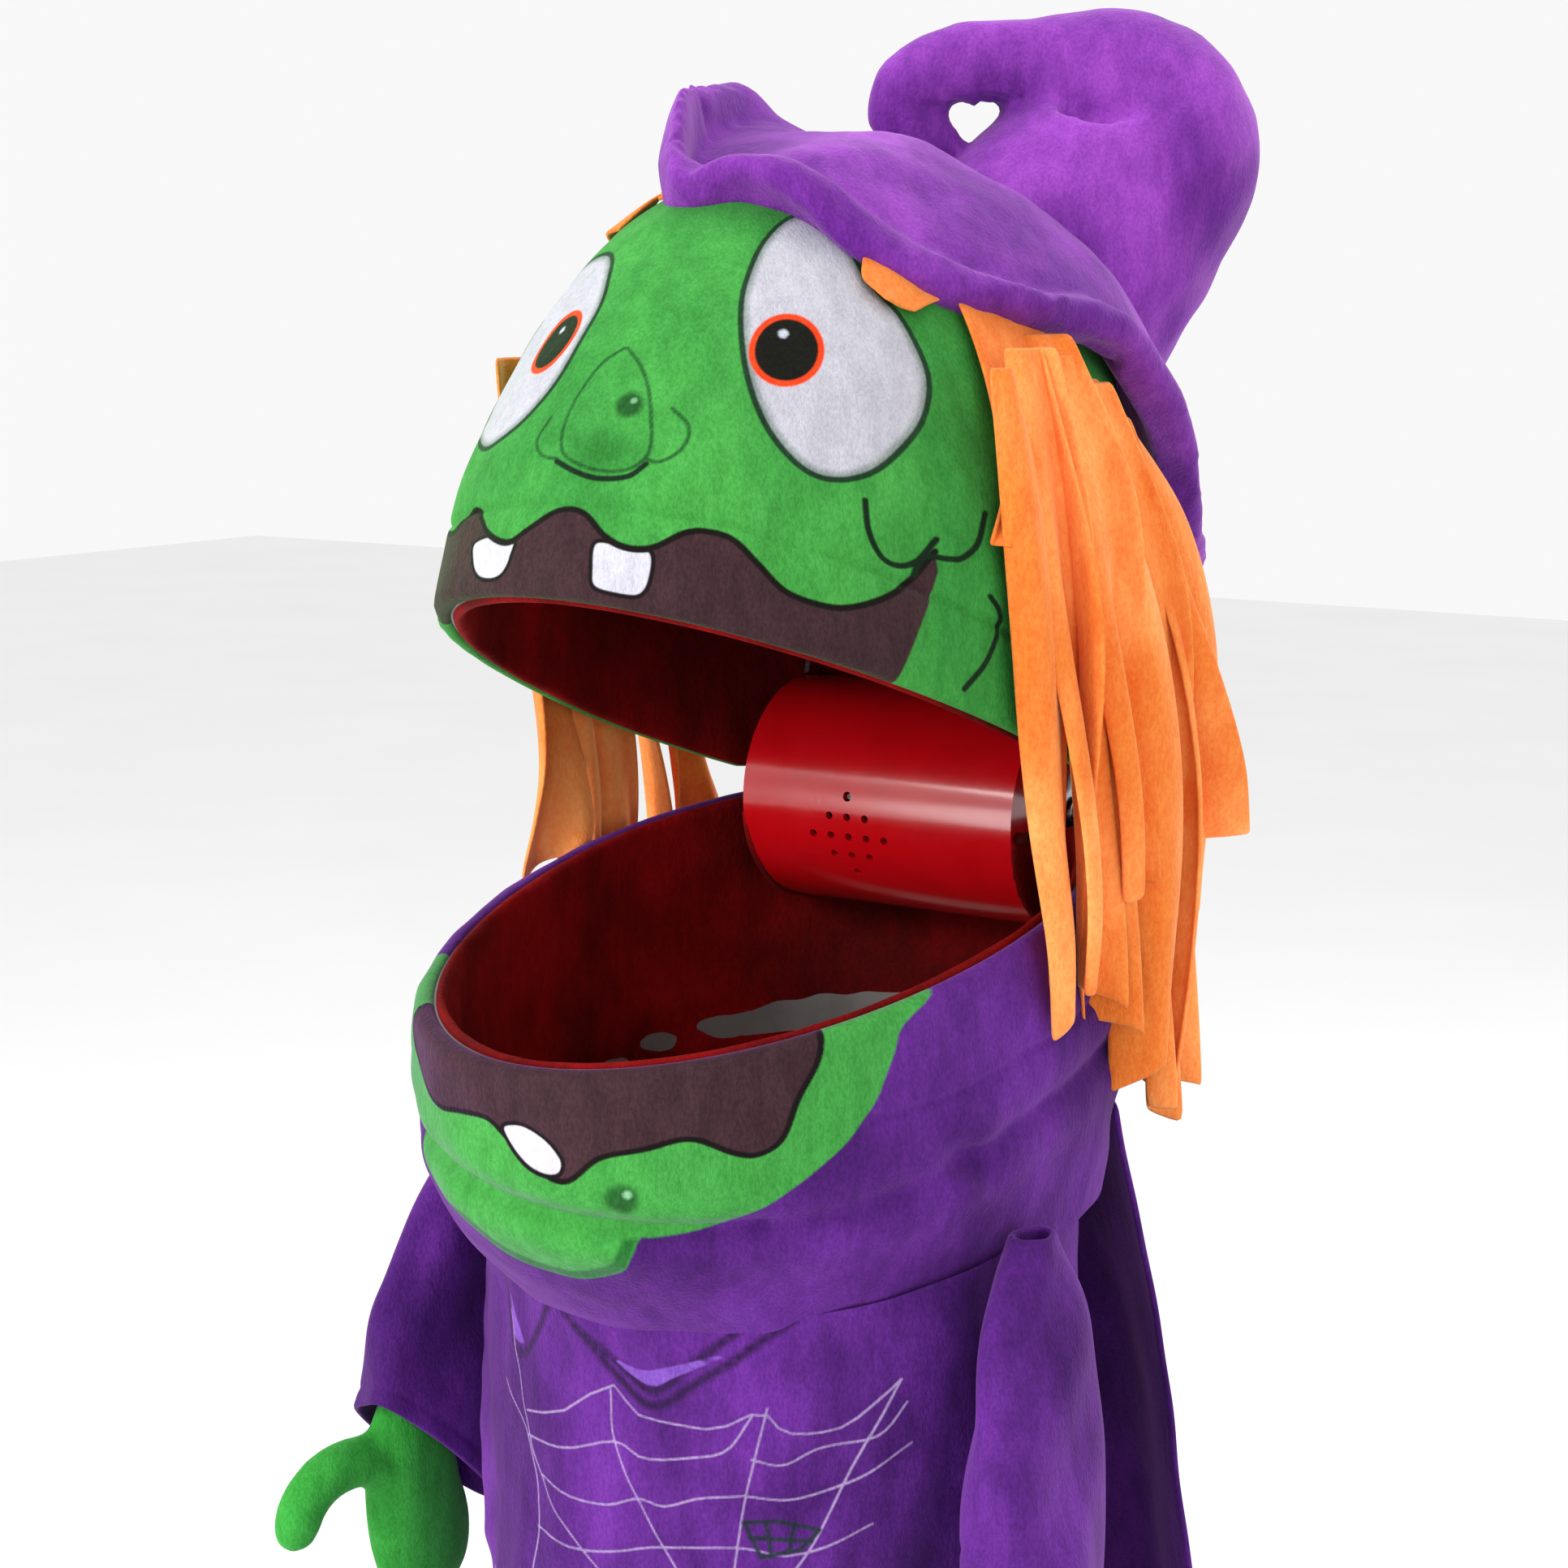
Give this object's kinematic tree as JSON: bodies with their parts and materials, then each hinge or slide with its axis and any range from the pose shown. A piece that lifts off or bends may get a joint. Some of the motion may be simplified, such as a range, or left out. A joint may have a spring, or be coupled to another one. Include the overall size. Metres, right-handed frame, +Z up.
{
  "type": "animated witch figure",
  "caption": "Free-standing plush witch figure with a curled pointed hat, fleece-strip hair and a lined bowl mouth that opens on a motor-driven hinge.",
  "frame": {"origin": "centre of the floor under the round base", "axes": "+Z up, the figure faces -Y, +X is the figure's left side"},
  "size_m": [0.32, 0.4018, 0.912],
  "materials": {
    "green_plush": "short pile plush, printed face",
    "purple_plush": "short pile plush",
    "red_plush": "short pile plush lining",
    "orange_fleece": "brushed fleece strips",
    "red_plastic": "glossy moulded",
    "grey_plastic": "plain moulded",
    "black_plastic": "plain moulded",
    "card": "wound tube",
    "steel": "plated",
    "iron": "rough",
    "brass": "turned",
    "foot_rubber": "matt",
    "paper_cone": "matt",
    "board": "solder resist",
    "tinted_lens": "dark tinted lens",
    "cell_sleeve": "plain sleeve"
  },
  "bodies": {
    "body": {"base_plate": "black_plastic", "base_weight": "iron", "base_screws": "steel", "base_feet": "foot_rubber", "body_tube_lower": "card", "body_tube_upper": "card", "tube_joining_ring": "grey_plastic", "bulkhead": "grey_plastic", "dress_body": "purple_plush", "jaw_cover": "green_plush", "bowl_shell": "grey_plastic", "bowl_lining": "red_plush", "cape": "purple_plush", "sleeve_left": "purple_plush", "sleeve_right": "purple_plush", "hand_left": "green_plush", "hand_right": "green_plush", "housing_front": "red_plastic", "housing_back": "red_plastic", "housing_screws": "steel", "shaft_bushes": "brass", "speaker_basket": "steel", "speaker_cone": "paper_cone", "speaker_magnet": "iron", "sensor_eye": "tinted_lens", "circuit_board": "board", "board_chips": "black_plastic", "motor_can": "steel", "motor_gearbox": "grey_plastic", "motor_bracket": "steel", "battery_tray": "black_plastic", "battery_cells": "cell_sleeve", "battery_contacts": "steel", "door_pin": "steel", "switch_body": "black_plastic"},
    "head": {"head_cover": "green_plush", "head_shell": "grey_plastic", "head_lining": "red_plush", "hinge_arm_left": "steel", "hinge_arm_right": "steel", "hinge_shaft": "steel", "shaft_clips": "steel", "sector_gear": "grey_plastic", "hat_brim": "purple_plush", "hat_crown": "purple_plush", "hair_left": "orange_fleece", "hair_right": "orange_fleece", "hair_bangs": "orange_fleece"},
    "pinion": {"output_pinion": "grey_plastic"},
    "battery_door": {"battery_door": "red_plastic"},
    "switch_knob": {"switch_knob": "black_plastic"}
  },
  "joints": [
    {"name": "head_hinge", "type": "hinge", "parent": "body", "child": "head", "pos_m": [0, 0.105, 0.6], "axis": [1, 0, 0], "range_deg": [-2, 32]},
    {"name": "pinion_spin", "type": "hinge", "parent": "body", "child": "pinion", "pos_m": [0.022, 0.11768, 0.62384], "axis": [1, 0, 0], "range_deg": [-95, 10]},
    {"name": "battery_door_hinge", "type": "hinge", "parent": "body", "child": "battery_door", "pos_m": [0, 0.1696, 0.5584], "axis": [1, 0, 0], "range_deg": [-95, 0]},
    {"name": "switch_slide", "type": "slide", "parent": "body", "child": "switch_knob", "axis": [0, 0, 1], "range_m": [0, 0.0055]}
  ],
  "couplings": [
    {"joint": "pinion_spin", "follows": "head_hinge", "ratio": -2.8571}
  ]
}
